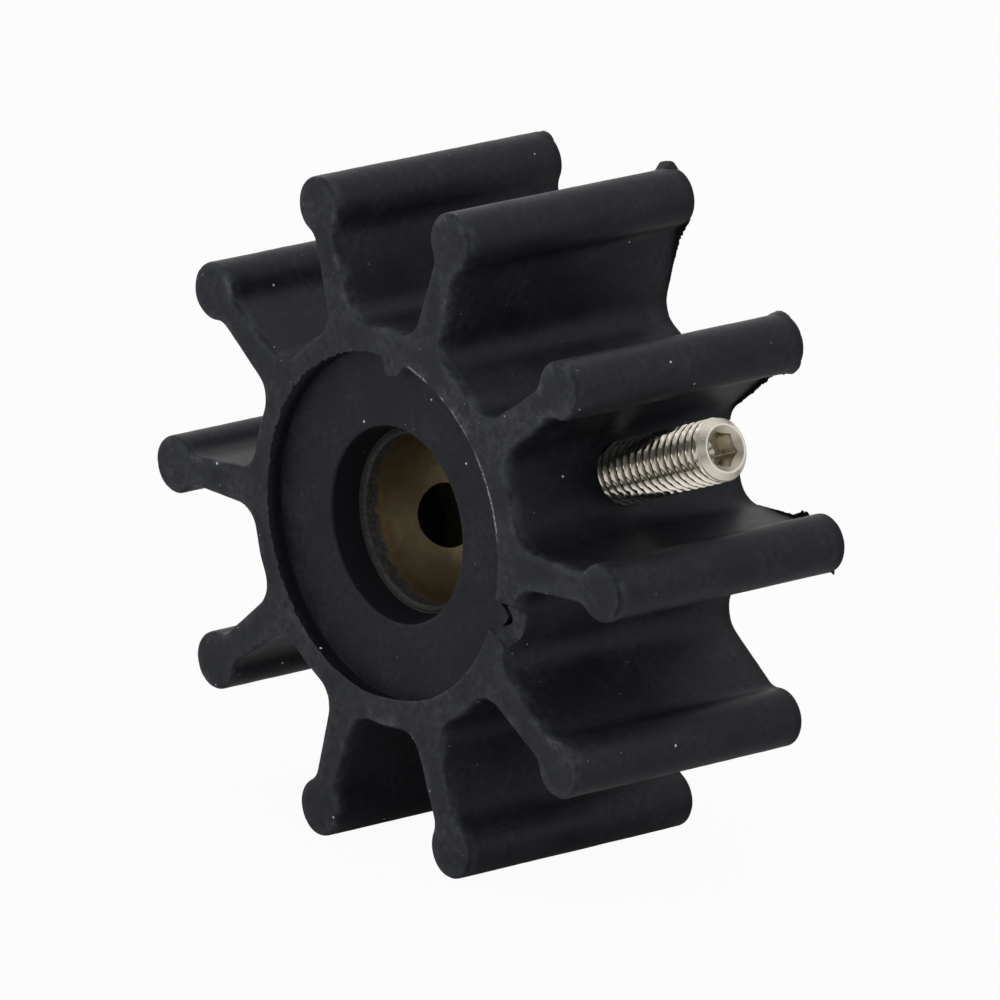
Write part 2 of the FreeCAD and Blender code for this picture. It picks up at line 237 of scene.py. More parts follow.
# Surroundings: the floor and the place round which reflections see it bright, then the heights
# and greys of the room in reflections and its level as light
FLOOR_HALF = 1.5
FLOOR_GREY = 0.6
FLOOR_GLOW = 0.95
POOL_PLACE = (0.150, -0.010)
ROOM_ENDS = ((0.0, 0.05), (1.0, 0.12))
ROOM_BANDS = ((0.12, 0.05), (0.22, 0.75), (0.42, 0.70), (0.56, 0.10))
ROOM_LIGHT = 0.82

# View of the photograph
VIEW_AZIMUTH = 49.37
VIEW_ELEVATION = 14.90
VIEW_DISTANCE = 1324.7
VIEW_RIGHT = 0.263
VIEW_UP = 0.289
VIEW_REACH = 10.0
LENS = 523.7
SENSOR = 36.0


def on_circle(radius, angle, y=0.0):
    """Point at an angle in degrees round the impeller's axis, measured from +X towards +Z."""
    turn = math.radians(angle)
    return Vector((radius * math.cos(turn), y, radius * math.sin(turn)))


def ripple(place, size, seed=0.0):
    """Smooth noise between -1 and 1 whose features are about size millimetres across."""
    return noise.noise(place / size + Vector((seed, seed * 0.7, -seed)))


def smooth_step(low, high, value):
    """Runs softly from 0 to 1 while the value goes from low to high."""
    share = min(max((value - low) / (high - low), 0.0), 1.0)
    return share * share * (3 - 2 * share)


def band(value, rise, fall):
    """Grows from 0 to 1 over the first range of the value and fades over the second."""
    return smooth_step(*rise, value) * (1 - smooth_step(*fall, value))


def heading(azimuth, elevation):
    """Unit vector at an azimuth in degrees, measured from +X towards +Y, and an elevation."""
    turn, rise = math.radians(azimuth), math.radians(elevation)
    level = math.cos(rise)
    return Vector((level * math.cos(turn), level * math.sin(turn), math.sin(rise)))


class Draft:
    """Points and faces of a piece in millimetres, with named values on its points."""

    def __init__(self):
        self.points = []
        self.faces = []
        self.values = {}

    def add(self, place, **values):
        self.points.append(place)
        for name, value in values.items():
            self.values.setdefault(name, {})[len(self.points) - 1] = value
        return len(self.points) - 1

    def bridge(self, first, second, closed=True):
        """Quads between two rows with the same number of points."""
        count = len(first)
        for index in range(count if closed else count - 1):
            after = (index + 1) % count
            self.faces.append((first[index], first[after], second[after], second[index]))

    def mesh(self, name):
        mesh = bpy.data.meshes.new(name)
        mesh.from_pydata([point * MM for point in self.points], [], self.faces)
        for value_name, values in self.values.items():
            layer = mesh.attributes.new(value_name, "FLOAT", "POINT")
            for index, value in values.items():
                layer.data[index].value = value
        form = bmesh.new()
        form.from_mesh(mesh)
        bmesh.ops.recalc_face_normals(form, faces=form.faces)
        form.to_mesh(mesh)
        form.free()
        return mesh


def place_piece(name, mesh, material, sharp_angle=40.0):
    """Makes an object of the mesh that rides with the impeller."""
    mesh.materials.clear()
    mesh.materials.append(material)
    mesh.shade_smooth()
    mesh.set_sharp_from_angle(angle=math.radians(sharp_angle))
    piece = bpy.data.objects.new(name, mesh)
    bpy.context.scene.collection.objects.link(piece)
    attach(piece, "root")
    return piece


def cut(mesh, name, cutters):
    """The mesh with the cutters' volumes taken out of it."""
    body = bpy.data.objects.new(name, mesh)
    bpy.context.scene.collection.objects.link(body)
    tools = []
    for number, cutter in enumerate(cutters):
        tool = bpy.data.objects.new(f"{name}_cutter_{number}", cutter)
        bpy.context.scene.collection.objects.link(tool)
        boolean = body.modifiers.new(f"cut_{number}", "BOOLEAN")
        boolean.operation = "DIFFERENCE"
        boolean.solver = "EXACT"
        boolean.object = tool
        tools.append(tool)
    bpy.context.view_layer.update()
    shown = body.evaluated_get(bpy.context.evaluated_depsgraph_get())
    result = bpy.data.meshes.new_from_object(shown)
    result.name = name
    for item in [body] + tools:
        bpy.data.objects.remove(item)
    return result


# Shader helpers

def new_material(name):
    """A material with its node tree, its main shader and its object coordinates."""
    material = bpy.data.materials.new(name)
    material.use_nodes = True
    tree = material.node_tree
    shader = tree.nodes["Principled BSDF"]
    coordinates = tree.nodes.new("ShaderNodeTexCoord").outputs["Object"]
    return material, tree, shader, coordinates


def noise_node(tree, coordinates, feature, detail, roughness):
    """Noise texture whose features are about that many millimetres across."""
    node = tree.nodes.new("ShaderNodeTexNoise")
    node.inputs["Scale"].default_value = 1 / (feature * MM)
    node.inputs["Detail"].default_value = detail
    node.inputs["Roughness"].default_value = roughness
    tree.links.new(coordinates, node.inputs["Vector"])
    return node.outputs["Fac"]


def ramp(tree, value, low, high, low_result=0.0, high_result=1.0):
    """Maps a value from one range to another, held at the ends."""
    node = tree.nodes.new("ShaderNodeMapRange")
    node.inputs["From Min"].default_value = low
    node.inputs["From Max"].default_value = high
    node.inputs["To Min"].default_value = low_result
    node.inputs["To Max"].default_value = high_result
    tree.links.new(value, node.inputs["Value"])
    return node.outputs["Result"]


def calculate(tree, operation, first, second):
    """Sum, product or the like of two values, held between 0 and 1."""
    node = tree.nodes.new("ShaderNodeMath")
    node.operation = operation
    node.use_clamp = True
    for socket, value in zip(node.inputs, (first, second)):
        if isinstance(value, float):
            socket.default_value = value
        else:
            tree.links.new(value, socket)
    return node.outputs["Value"]


def mix_colour(tree, share, first, second):
    """The first colour where the share is 0 and the second where it is 1."""
    node = tree.nodes.new("ShaderNodeMix")
    node.data_type = "RGBA"
    tree.links.new(share, node.inputs["Factor"])
    for socket, colour in ((node.inputs["A"], first), (node.inputs["B"], second)):
        if isinstance(colour, tuple):
            socket.default_value = (*colour, 1.0)
        else:
            tree.links.new(colour, socket)
    return node.outputs["Result"]


def attribute(tree, name):
    """A value that the mesh carries on its points."""
    node = tree.nodes.new("ShaderNodeAttribute")
    node.attribute_name = name
    return node.outputs["Fac"]


def specks(tree, coordinates, spacing, size, share):
    """Mask of small round grains, one for some of the cells of a given spacing."""
    cells = tree.nodes.new("ShaderNodeTexVoronoi")
    cells.inputs["Scale"].default_value = 1 / (spacing * MM)
    cells.inputs["Randomness"].default_value = 1.0
    tree.links.new(coordinates, cells.inputs["Vector"])
    grain = ramp(tree, cells.outputs["Distance"], size / spacing, 0.7 * size / spacing)
    split = tree.nodes.new("ShaderNodeSeparateColor")
    tree.links.new(cells.outputs["Color"], split.inputs["Color"])
    chosen = calculate(tree, "LESS_THAN", split.outputs["Red"], share)
    return calculate(tree, "MULTIPLY", grain, chosen)


def bump(tree, shader, height, distance, strength):
    """Roughens the shader's surface by a height up to a distance in millimetres."""
    node = tree.nodes.new("ShaderNodeBump")
    node.inputs["Strength"].default_value = strength
    node.inputs["Distance"].default_value = distance * MM
    tree.links.new(height, node.inputs["Height"])
    tree.links.new(node.outputs["Normal"], shader.inputs["Normal"])


def make_rubber():
    """Black nitrile rubber, greyer on the ground end faces, with wear, dust and specks, and with
    painted shade on walls, rear edges and the tab and painted highlights on edges and the recess
    foot.
    """
    material, tree, shader, coordinates = new_material("moulded_rubber_look")
    cloud = noise_node(tree, coordinates, 5.0, detail=5.0, roughness=0.6)
    cloud = ramp(tree, cloud, 0.35, 0.68)
    fine = noise_node(tree, coordinates, 0.7, detail=3.0, roughness=0.6)
    tone = calculate(tree, "MULTIPLY", cloud, ramp(tree, fine, 0.3, 0.75))
    skin = mix_colour(tree, tone, *SKIN_COLOURS)
    ground = mix_colour(tree, tone, *GROUND_COLOURS)
    colour = mix_colour(tree, attribute(tree, "ground"), skin, ground)
    patches = noise_node(tree, coordinates, 1.6, detail=4.0, roughness=0.6)
    patches = ramp(tree, patches, 0.42, 0.66, 0.05, 0.8)
    # Wear on the front edges, partly a painted highlight that lightens their rounding
    worn_and_highlit = calculate(tree, "MULTIPLY", attribute(tree, "edge"), patches)
    colour = mix_colour(tree, worn_and_highlit, colour, WORN_AND_HIGHLIT_COLOUR)
    # The torn colour, also used as painted shade on the recess walls, rear edges and the tab
    colour = mix_colour(tree, attribute(tree, "torn"), colour, TORN_AND_SHADE_COLOUR)
    scatter = noise_node(tree, coordinates, 0.35, detail=2.0, roughness=0.7)
    scatter = ramp(tree, scatter, 0.34, 0.54)
    dust_and_highlight_share = calculate(tree, "MULTIPLY", attribute(tree, "dust"), scatter)
    # Dust, and along the foot of the recess wall a painted highlight line
    colour = mix_colour(tree, dust_and_highlight_share, colour, DUST_AND_HIGHLIGHT_COLOUR)
    motes = specks(tree, coordinates, spacing=1.2, size=0.075, share=0.22)
    colour = mix_colour(tree, motes, colour, MOTE_COLOUR)
    rim_motes = specks(tree, coordinates, spacing=0.8, size=0.09, share=0.16)
    rim_motes = calculate(tree, "MULTIPLY", rim_motes, attribute(tree, "edge"))
    colour = mix_colour(tree, rim_motes, colour, RIM_MOTE_COLOUR)
    grains = specks(tree, coordinates, spacing=2.4, size=0.14, share=0.18)
    colour = mix_colour(tree, grains, colour, GRAIN_COLOUR)
    tree.links.new(colour, shader.inputs["Base Color"])
    dull = calculate(tree, "MAXIMUM", attribute(tree, "ground"), attribute(tree, "torn"))
    dull = calculate(tree, "ADD", ramp(tree, cloud, 0.0, 1.0, 0.0, 0.6), dull)
    tree.links.new(ramp(tree, dull, 0.0, 1.0, 0.40, 0.58), shader.inputs["Roughness"])
    shader.inputs["Specular IOR Level"].default_value = 0.16
    shader.inputs["Specular Tint"].default_value = (0.92, 0.94, 1.0, 1.0)
    grain = noise_node(tree, coordinates, 0.22, detail=4.0, roughness=0.65)
    bump(tree, shader, grain, distance=0.03, strength=0.5)
    return material


def make_brass():
    """Dull turned brass with fine tool rings, brown stains, an orange bloom and a grey smear."""
    material, tree, shader, coordinates = new_material("bush_metal_look")
    cloud = noise_node(tree, coordinates, 3.0, detail=4.0, roughness=0.6)
    cloud = ramp(tree, cloud, 0.38, 0.66)
    blotch = noise_node(tree, coordinates, 2.2, detail=3.0, roughness=0.55)
    blotch = ramp(tree, blotch, 0.5, 0.72, 0.0, 0.6)
    colour = mix_colour(tree, cloud, *BRASS_COLOURS)
    orange = calculate(tree, "MAXIMUM", blotch, attribute(tree, "bloom"))
    colour = mix_colour(tree, orange, colour, BLOOM_COLOUR)
    residue = attribute(tree, "residue")
    lumps = noise_node(tree, coordinates, 0.4, detail=3.0, roughness=0.6)
    smear = mix_colour(tree, ramp(tree, lumps, 0.45, 0.7), *SMEAR_COLOURS)
    colour = mix_colour(tree, residue, colour, smear)
    colour = mix_colour(tree, attribute(tree, "film"), colour, FILM_COLOUR)
    tree.links.new(colour, shader.inputs["Base Color"])
    tree.links.new(ramp(tree, residue, 0.0, 1.0, 0.85, 0.0), shader.inputs["Metallic"])
    shader.inputs["Specular IOR Level"].default_value = 0.2
    tree.links.new(ramp(tree, cloud, 0.0, 1.0, 0.5, 0.38), shader.inputs["Roughness"])
    stretch = tree.nodes.new("ShaderNodeMapping")
    stretch.inputs["Scale"].default_value = (0.02, 1.0, 0.02)
    tree.links.new(coordinates, stretch.inputs["Vector"])
    rings = noise_node(tree, stretch.outputs["Vector"], 0.08, detail=2.0, roughness=0.5)
    bump(tree, shader, rings, distance=0.006, strength=0.6)
    return material


def make_steel():
    """Bright stainless steel with painted shade in the thread roots and socket, duller on the
    turned end.
    """
    material, tree, shader, coordinates = new_material("screw_steel_look")
    cloud = noise_node(tree, coordinates, 1.0, detail=3.0, roughness=0.6)
    cloud = ramp(tree, cloud, 0.4, 0.65)
    colour = mix_colour(tree, cloud, *STEEL_COLOURS)
    groove = attribute(tree, "groove")
    # Painted shade in the thread roots and the socket
    colour = mix_colour(tree, groove, colour, GROOVE_SHADE_COLOUR)
    tree.links.new(colour, shader.inputs["Base Color"])
    shader.inputs["Metallic"].default_value = 1.0
    polish = ramp(tree, cloud, 0.0, 1.0, 0.08, 0.15)
    roughness = calculate(tree, "ADD", polish, ramp(tree, groove, 0.2, 0.7, 0.0, 0.25))
    turned = ramp(tree, attribute(tree, "turned"), 0.0, 1.0, 0.0, 0.28)
    roughness = calculate(tree, "ADD", roughness, turned)
    tree.links.new(roughness, shader.inputs["Roughness"])
    scratches = noise_node(tree, coordinates, 0.12, detail=3.0, roughness=0.6)
    bump(tree, shader, scratches, distance=0.004, strength=0.4)
    return material


# Outline of the rotor

def arc(centre, radius, start, end, steps):
    """Points and outward normals along an arc, as (x, z, normal x, normal z)."""
    side = 1.0 if radius > 0 else -1.0
    reach = abs(radius)
    row = []
    for step in range(steps):
        angle = start + (end - start) * step / steps
        across, up = math.cos(angle), math.sin(angle)
        row.append((centre[0] + reach * across, centre[1] + reach * up, side * across, side * up))
    return row


def half_blade():
    """Upper half of a blade along +X, from its tip to the middle of the gap beside it."""
    lean = 0.0
    # The flank's lean and the ends of its fillets depend on each other, and settle in a few rounds
    for _ in range(8):
        root_up = ROOT_HALF + ROOT_FILLET * math.cos(lean)
        root_across = math.sqrt((HUB_RADIUS + ROOT_FILLET) ** 2 - root_up**2)
        neck_up = NECK_HALF + NECK_FILLET * math.cos(lean)
        neck_across = BULB_CENTRE - math.sqrt((BULB_RADIUS + NECK_FILLET) ** 2 - neck_up**2)
        root_start = root_across + ROOT_FILLET * math.sin(lean)
        neck_start = neck_across + NECK_FILLET * math.sin(lean)
        lean = math.atan2(NECK_HALF - ROOT_HALF, neck_start - root_start)
    bulb_end = math.atan2(neck_up, neck_across - BULB_CENTRE)
    flank_side = lean - math.pi / 2
    hub_start = math.atan2(root_up, root_across)
    gap_middle = math.radians(BLADE_STEP / 2)
    row = arc((BULB_CENTRE, 0.0), BULB_RADIUS, 0.0, bulb_end, BULB_STEPS)
    row += arc((neck_across, neck_up), -NECK_FILLET, bulb_end - math.pi, flank_side, NECK_STEPS)
    for step in range(FLANK_STEPS):
        share = step / FLANK_STEPS
        across = neck_start + (root_start - neck_start) * share
        up = NECK_HALF + (ROOT_HALF - NECK_HALF) * share
        row.append((across, up, -math.sin(lean), math.cos(lean)))
    row += arc((root_across, root_up), -ROOT_FILLET, flank_side, hub_start - math.pi, ROOT_STEPS)
    row += arc((0.0, 0.0), HUB_RADIUS, hub_start, gap_middle, GAP_STEPS)
    middle = (math.cos(gap_middle), math.sin(gap_middle))
    row.append((HUB_RADIUS * middle[0], HUB_RADIUS * middle[1], *middle))
    return row


HALF_BLADE = half_blade()


def blade_points(number, side):
    """Half the outline of one blade, as (place, normal); side is 1 above it and -1 below."""
    turn = Matrix.Rotation(-math.radians(number * BLADE_STEP), 3, "Y")
    row = []
    for across, up, normal_across, normal_up in HALF_BLADE:
        place = turn @ Vector((across, 0.0, side * up))
        normal = turn @ Vector((normal_across, 0.0, side * normal_up))
        row.append((place, normal))
    return row


def rotor_outline():
    """The whole outline, anticlockwise seen from the front."""
    row = []
    for number in range(BLADES):
        row += reversed(blade_points(number, -1)[1:])
        row += blade_points(number, 1)[:-1]
    return row


def inside_outline(across, up, margin):
    """Whether a point of the end face is well inside the outline and outside the recess."""
    radius = math.hypot(across, up)
    rim_gap = 0.1
    hub_overlap = 1.0
    if radius < RECESS_RADIUS + margin + rim_gap:
        return False
    if radius < HUB_RADIUS - margin:
        return True
    step = math.radians(BLADE_STEP)
    turn = round(math.atan2(up, across) / step) * step
    along = across * math.cos(turn) + up * math.sin(turn)
    beside = abs(up * math.cos(turn) - across * math.sin(turn))
    if math.hypot(along - BULB_CENTRE, beside) < BULB_RADIUS - margin:
        return True
    root_up = ROOT_HALF + ROOT_FILLET
    root_across = math.sqrt((HUB_RADIUS + ROOT_FILLET) ** 2 - root_up**2)
    if along > root_across:
        return along < BULB_CENTRE and beside < NECK_HALF - margin
    half = root_up - math.sqrt(max(ROOT_FILLET**2 - (root_across - along) ** 2, 0.0))
    return along > HUB_RADIUS - hub_overlap and beside < half - margin


# Rotor

def rim_offset(angle):
    """How far the torn rim of the front recess stands out from its circle, or in from it."""
    for (start, first), (end, second) in zip(RIM_OFFSETS, RIM_OFFSETS[1:]):
        if start <= angle <= end:
            offset = first + (second - first) * smooth_step(start, end, angle)
    place = on_circle(RECESS_RADIUS, angle)
    teeth = ripple(place, 0.6, seed=3.0) + 0.6 * ripple(place, 0.33, seed=5.0)
    return offset + (0.05 + 0.20 * band(angle, *RAGGED_RIM)) * teeth


def recess_profile():
    """Radius and height below the end face, from the rim of the recess to the bush's seat."""
    corner_radius = RECESS_RADIUS - RECESS_CORNER
    corner_depth = RECESS_DEPTH - RECESS_CORNER
    row = [(RECESS_RADIUS + RIM_BAND, 0.0), (RECESS_RADIUS + DUST_BAND, 0.0), (RECESS_RADIUS, 0.0)]
    row += [(RECESS_RADIUS, depth) for depth in WALL_DEPTHS]
    for step in range(5):
        angle = math.pi / 2 * step / 4
        across = corner_radius + RECESS_CORNER * math.cos(angle)
        row.append((across, corner_depth + RECESS_CORNER * math.sin(angle)))
    row += [(FLOOR_START - FLOOR_STEP * step, RECESS_DEPTH) for step in range(FLOOR_RINGS)]
    for step in range(4):
        angle = math.pi / 2 * step / 3
        across = OPENING_MOUTH + OPENING_LIP - OPENING_LIP * math.sin(angle)
        row.append((across, RECESS_DEPTH + OPENING_LIP - OPENING_LIP * math.cos(angle)))
    seat = END - BUSH_END
    for step in range(1, 6):
        share = step / 5
        across = OPENING_MOUTH + (OPENING_END - OPENING_MOUTH) * share
        depth = RECESS_DEPTH + OPENING_LIP
        row.append((across, depth + (seat - depth) * share))
    row.append((BUSH_RADIUS, seat))
    return row


def draw_wall(draft, outline):
    """The blades' flanks and the hub between them, with softly rounded end edges."""
    stations = []
    for step in range(EDGE_STEPS + 1):
        angle = math.pi / 2 * step / EDGE_STEPS
        stations.append((END - EDGE_ROUND * (1 - math.cos(angle)), 1 - math.sin(angle)))
    straight = END - EDGE_ROUND
    places = [(-depth, inset) for depth, inset in stations]
    for step in range(1, LENGTH_STEPS):
        places.append((-straight + 2 * straight * step / LENGTH_STEPS, 0.0))
    places += [(depth, inset) for depth, inset in reversed(stations)]
    slack = 0.01
    rows = []
    for y, inset in places:
        row = []
        for place, normal in outline:
            spot = Vector((place.x, y, place.z))
            nick = max(ripple(spot, 0.8, seed=11.0) - 0.25, 0.0)
            rounding = EDGE_ROUND * (0.85 + 0.45 * ripple(spot, 2.5, seed=2.0) + 0.9 * nick)
            dent = 0.5 + 0.5 * ripple(spot, 3.2) + 0.35 * ripple(spot, 0.9, seed=4.0)
            shift = inset * rounding + max(SURFACE_WAVE * dent, 0.0)
            dust = 0.15 * inset * smooth_step(0.15, 0.6, ripple(spot, 2.2, seed=7.0))
            # The front rounding carries wear and a painted highlight
            edge = 1.0 if y < slack - straight else 0.0
            # Painted shade on the rounded rear edge
            torn = REAR_EDGE_SHADE if y > straight - slack and inset < 1 else 0.0
            ground = 1.0 if inset == 1 else 0.0
            values = {"dust": dust, "edge": edge, "torn": torn, "ground": ground}
            row.append(draft.add(spot - normal * shift, **values))
        rows.append(row)
    for first, second in zip(rows, rows[1:]):
        draft.bridge(first, second)
    return rows[0], rows[-1]


def draw_recess(draft):
    """Recess, opening and seat of both ends, turned round the axis."""
    profile = recess_profile()
    front = [(radius, -END + depth, step, True) for step, (radius, depth) in enumerate(profile)]
    rear = [(radius, END - depth, step, False) for step, (radius, depth) in enumerate(profile)]
    bore = [(BUSH_RADIUS, 0.0, len(profile), True)]
    rows = []
    for radius, y, step, is_front in front + bore + list(reversed(rear)):
        row = []
        for index in range(ROUND_STEPS):
            angle = 360 * index / ROUND_STEPS
            reach = radius
            spot = on_circle(radius, angle, y)
            if is_front and step < len(RIM_SHARES):
                reach += rim_offset(angle) * RIM_SHARES[step]
            wave = 0.0
            if step < LIP_RING:
                wave = SURFACE_WAVE * 0.5 * (1 + ripple(spot, 3.0, seed=1.0))
            depth = wave if is_front else -wave
            dust = 0.0
            if is_front and step < FLAT_RINGS:
                dust = rim_dust(angle, step)
            # A painted highlight along the foot of the wall, low on the left
            elif is_front and step == FOOT_RING:
                dust = 0.08 * band(angle, *FOOT_HIGHLIGHT)
            ground = 1.0 if step < FLAT_RINGS else 0.0
            # Painted shade on the recess's wall and on the opening's wall down to the bush's seat
            torn = 1.0 if FLAT_RINGS <= step < FOOT_RING or step > LIP_RING else 0.0
            values = {"dust": dust, "ground": ground, "torn": torn}
            row.append(draft.add(on_circle(reach, angle, y + depth), **values))
        rows.append(row)
    for first, second in zip(rows, rows[1:]):
        draft.bridge(first, second)
    return rows[0], rows[-1]


def rim_dust(angle, ring):
    """Pale dust along the rim of the recess: a line at the right, patches up to the tab."""
    film = 0.02
    patchy = band(angle, *DUST_PATCHES)
    patchy *= smooth_step(-0.3, 0.3, ripple(on_circle(RECESS_RADIUS, angle), 1.0, seed=71.0))
    if ring == 0:
        return 0.10 * patchy + film
    line = 0.9 * band(angle, *DUST_LINE)
    return line + 0.75 * patchy + 0.05 * band(angle, *FAINT_DUST) + film


def fill_end(draft, outer, inner, y, direction):
    """End face between the outline's edge and the rim of the recess."""
    flat = [(draft.points[index].x, draft.points[index].z) for index in outer]
    flat += [(draft.points[index].x, draft.points[index].z) for index in inner]
    edges = []
    for start, count in ((0, len(outer)), (len(outer), len(inner))):
        edges += [(start + index, start + (index + 1) % count) for index in range(count)]
    known = list(outer) + list(inner)
    reach = BULB_CENTRE + BULB_RADIUS
    for row in range(int(2 * reach / FACE_ROW)):
        up = -reach + row * FACE_ROW
        for column in range(int(2 * reach / FACE_GRID)):
            across = -reach + (column + 0.5 * (row % 2)) * FACE_GRID
            if inside_outline(across, up, FACE_MARGIN):
                spot = Vector((across, y, up))
                wave = SURFACE_WAVE * 0.5 * (1 + ripple(spot, 2.6, seed=6.0))
                known.append(draft.add(spot - Vector((0, direction * wave, 0)), ground=1.0))
                flat.append((across, up))
    inside_with_holes = 2
    merge = 1e-6
    result = delaunay_2d_cdt([Vector(spot) for spot in flat], edges, [], inside_with_holes, merge)
    faces, origin = result[2], result[3]
    rim = set(inner)
    for face in faces:
        corners = tuple(known[origin[index][0]] for index in face)
        middle = sum((draft.points[index] for index in corners), Vector()) / len(corners)
        angle = math.degrees(math.atan2(middle.z, middle.x)) % 360
        edge = RECESS_RADIUS + RIM_BAND + (rim_offset(angle) if direction < 0 else 0.0)
        in_recess = rim.issuperset(corners) and math.hypot(middle.x, middle.z) < edge
        if not in_recess:
            draft.faces.append(corners)


def tear_point(share, row):
    """A point of the torn floor: its radius, its side, its depth, the tongue's edge and the crack.

    The share runs from -1 to 1 across the notch, and the rows from the tongue outwards.
    """
    beside = share * TEAR_HALF - TONGUE_SIDE
    steep, gentle = 1.4, 0.42
    tongue = TONGUE_RADIUS - (steep if beside > 0 else gentle) * beside**2
    tongue = max(tongue, RECESS_RADIUS - 1.0)
    tongue += 0.06 * ripple(Vector((beside, 0, 0)), 0.5, seed=21.0)
    radius = tongue + (TEAR_OUTSIDE - tongue) * row / TEAR_ROWS
    half = TEAR_HALF + TEAR_FLARE * (radius - TONGUE_RADIUS)
    side = share * half + 0.07 * ripple(Vector((0, radius, share)), 0.8, seed=31.0)
    spot = Vector((radius, side, 0))
    depth = TEAR_DEPTH * (1 - abs(share) ** 4)
    depth += 0.09 * ripple(spot, 1.1, seed=41.0) + 0.05 * ripple(spot, 0.4, seed=43.0)
    wide = 0.35 + 0.35 * smooth_step(-0.2, 0.6, share)
    crack = 1 - smooth_step(wide - 0.1, wide + 0.1, radius - tongue)
    crack *= 1 - share**6
    depth = max(depth + (CRACK_DEPTH - depth) * crack, -0.5)
    return radius, side, depth, tongue, crack


def tear_cutter():
    """Bowl that is torn out of the land, with a crack under the tongue of the recess's floor."""
    draft = Draft()
    turn = Matrix.Rotation(-math.radians(TEAR_ANGLE), 3, "Y")
    top = -END - 1.0

    def add(radius, y, side):
        return draft.add(turn @ Vector((radius, y, side)), torn=1.0)

    floor_rows, top_rows = [], []
    edge, ledge = [], []
    for row in range(TEAR_ROWS + 1):
        line = []
        for column in range(TEAR_COLUMNS + 1):
            share = 2 * column / TEAR_COLUMNS - 1
            radius, side, depth, tongue, crack = tear_point(share, row)
            line.append(add(radius - CRACK_UNDERCUT * crack, -END + depth, side))
            if row == 0:
                floor = -END + min(RECESS_DEPTH - 0.03, depth - 0.01)
                edge.append(add(tongue, floor, side))
                ledge.append(add(TEAR_INSIDE, floor, side))
        floor_rows.append(line)
    for row in range(TEAR_ROWS + 1):
        line = []
        for column in range(TEAR_COLUMNS + 1):
            share = 2 * column / TEAR_COLUMNS - 1
            radius, side = tear_point(share, row)[:2]
            line.append(add(TEAR_INSIDE if row == 0 else radius, top, side))
        top_rows.append(line)
    for rows in (floor_rows, top_rows):
        for first, second in zip(rows, rows[1:]):
            draft.bridge(first, second, closed=False)
    draft.bridge(floor_rows[-1], top_rows[-1], closed=False)
    inner = [floor_rows[0], edge, ledge, top_rows[0]]
    for low, high in zip(inner, inner[1:]):
        draft.bridge(low, high, closed=False)
    for column in (0, TEAR_COLUMNS):
        low = [line[column] for line in floor_rows]
        high = [line[column] for line in top_rows]
        draft.bridge(low[1:], high[1:], closed=False)
        draft.faces.append((low[1], low[0], edge[column], ledge[column], high[0], high[1]))
    return draft.mesh("tear_cutter")


def screw_frame():
    """Directions of the set screw: across along +Y, up in the impeller's plane, and its axis."""
    axis = on_circle(1.0, SCREW_ANGLE)
    up = on_circle(1.0, SCREW_ANGLE + 90)
    return Vector((0, 1, 0)), up, axis


def rod_cutter(radius, start, end, steps=72):
    """A plain rod along the set screw's axis."""
    across, up, axis = screw_frame()
    draft = Draft()
    rows = []
    for along in (start, end):
        row = []
        for index in range(steps):
            angle = 2 * math.pi * index / steps
            spot = axis * along + (across * math.cos(angle) + up * math.sin(angle)) * radius
            row.append(draft.add(spot))
        rows.append(row)
    draft.bridge(rows[0], rows[1])
    draft.faces += [tuple(rows[0]), tuple(reversed(rows[1]))]
    return draft.mesh("rod_cutter")


def make_rotor(material):
    """Hub and blades in one piece, with the screw's hole and the torn notch cut out."""
    draft = Draft()
    front_edge, rear_edge = draw_wall(draft, rotor_outline())
    front_rim, rear_rim = draw_recess(draft)
    fill_end(draft, front_edge, front_rim, -END, -1)
    fill_end(draft, rear_edge, rear_rim, END, 1)
    hole = rod_cutter(SCREW_RADIUS + HOLE_GAP, BUSH_RADIUS - 1.0, HUB_RADIUS + 3.0)
    mesh = cut(draft.mesh("rotor"), "rotor", [hole, tear_cutter()])
    rotor = place_piece("rotor", mesh, material, sharp_angle=50.0)
    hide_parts("rubber_body")


# Moulding flash

def height_at(knots, index):
    """Height of a fin beside a point of the outline."""
    for (start, first), (end, second) in zip(knots, knots[1:]):
        if start <= index <= end:
            return first + (second - first) * (index - start) / (end - start)
    return 0.0


def flash_fin(name, material, number, side, kind, knots):
    """Thin ragged fin on the rear edge of a blade."""
    run, roughness, fin_shade = kind
    points = blade_points(number, side)
    draft = Draft()
    rows = [[], [], [], [], []]
    start, end = knots[0][0], knots[-1][0]
    count = int((end - start) * FIN_STEPS)
    for step in range(count + 1):
        spot_index = start + (end - start) * step / count
        index = min(int(spot_index), len(points) - 2)
        part = spot_index - index
        place = points[index][0].lerp(points[index + 1][0], part)
        normal = points[index][1].lerp(points[index + 1][1], part).normalized()
        teeth = 0.35 * ripple(place, 0.5, seed=50.0) + 0.25 * ripple(place, 0.2, seed=52.0)
        reach = height_at(knots, spot_index) * (1 + roughness * teeth) - 0.06
        # The fin's slope and edge carry painted shade, as much as its kind gives
        section = (
            (FIN_ROOT, FIN_REAR - run, 0.0),
            (FIN_SKIN, FIN_REAR - run, fin_shade),
            (reach, FIN_EDGE[0], fin_shade),
            (reach, FIN_EDGE[1], fin_shade),
            (FIN_ROOT, FIN_REAR, 0.0),
        )
        for row, (out, y, torn) in zip(rows, section):
            spot = place + normal * out
            row.append(draft.add(Vector((spot.x, y, spot.z)), torn=torn))
    for first, second in zip(rows, rows[1:] + rows[:1]):
        draft.bridge(first, second, closed=False)
    for tip in (0, -1):
        draft.faces.append(tuple(row[tip] for row in rows))
    place_piece(name, draft.mesh(name), material)


# Bush

